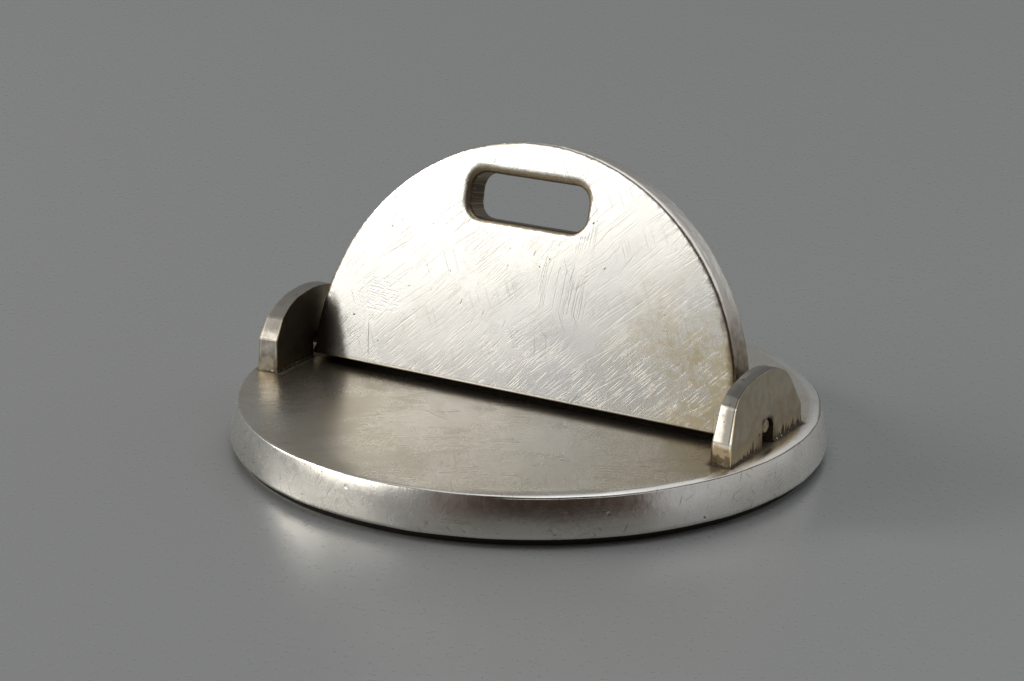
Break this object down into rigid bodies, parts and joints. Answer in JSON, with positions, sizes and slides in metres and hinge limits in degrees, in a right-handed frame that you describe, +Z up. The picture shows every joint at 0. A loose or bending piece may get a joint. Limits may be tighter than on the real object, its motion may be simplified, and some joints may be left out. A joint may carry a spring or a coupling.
{
  "type": "wax seal stamp",
  "caption": "Worn silver wax seal stamp: a thick round die with a slotted half-round handle that folds flat either way on pins between soldered ears.",
  "frame": {"origin": "middle of the die's face, on the surface that the stamp rests on", "axes": "+Z up through the handle, +X along the hinge line to the right ear, -Y towards the front"},
  "size_m": [0.0446, 0.0446, 0.0222],
  "materials": {
    "disc_silver": "worn satin silver, scratched, with grey-brown tarnish",
    "ear_silver": "worn silver, filed edges, dark grime at the foot",
    "handle_silver": "worn polished silver, densely scratched, with yellow-brown tarnish",
    "pin_silver": "dull tarnished silver",
    "solder": "dull grey-brown silver solder with grime"
  },
  "bodies": {
    "base": {"seal_disc": "disc_silver", "left_ear": "ear_silver", "right_ear": "ear_silver", "left_solder_seam": "solder", "right_solder_seam": "solder"},
    "handle": {"handle_plate": "handle_silver", "left_hinge_pin": "pin_silver", "right_hinge_pin": "pin_silver"}
  },
  "joints": [
    {"name": "handle_fold", "type": "hinge", "parent": "base", "child": "handle", "pos_m": [0, -0.00085, 0.005], "axis": [1, 0, 0], "range_deg": [-76.6, 103.4]}
  ]
}
